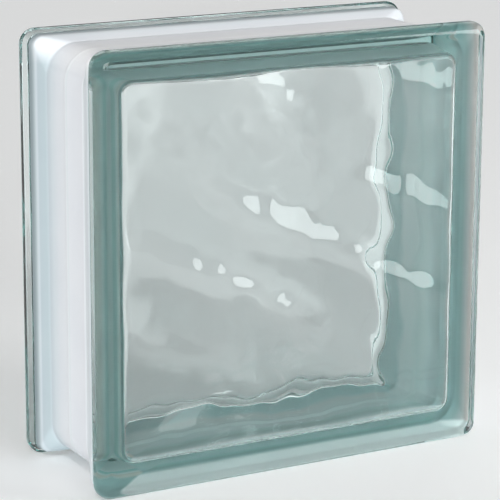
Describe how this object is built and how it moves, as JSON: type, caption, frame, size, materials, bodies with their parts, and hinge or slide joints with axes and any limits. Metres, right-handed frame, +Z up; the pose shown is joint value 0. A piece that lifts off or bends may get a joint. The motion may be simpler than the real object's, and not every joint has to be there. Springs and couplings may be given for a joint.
{
  "type": "glass block",
  "caption": "Square hollow wall block of clear wavy glass, with a recessed mortar channel and a white coat round its four edges.",
  "frame": {"origin": "middle of the underside, where the lower edge rests", "axes": "+Z up, +Y from the front face through the glass to the back face, +X along the face to the right as seen from the front"},
  "size_m": [0.19, 0.08, 0.19],
  "materials": {
    "clear_glass": "pressed clear glass with a faint green tint, fire-polished outside, moulded waves inside",
    "white_coat": "opaque white sprayed coat, satin"
  },
  "bodies": {
    "root": {"front_shell": "clear_glass", "back_shell": "clear_glass", "edge_coating": "white_coat"}
  },
  "joints": []
}
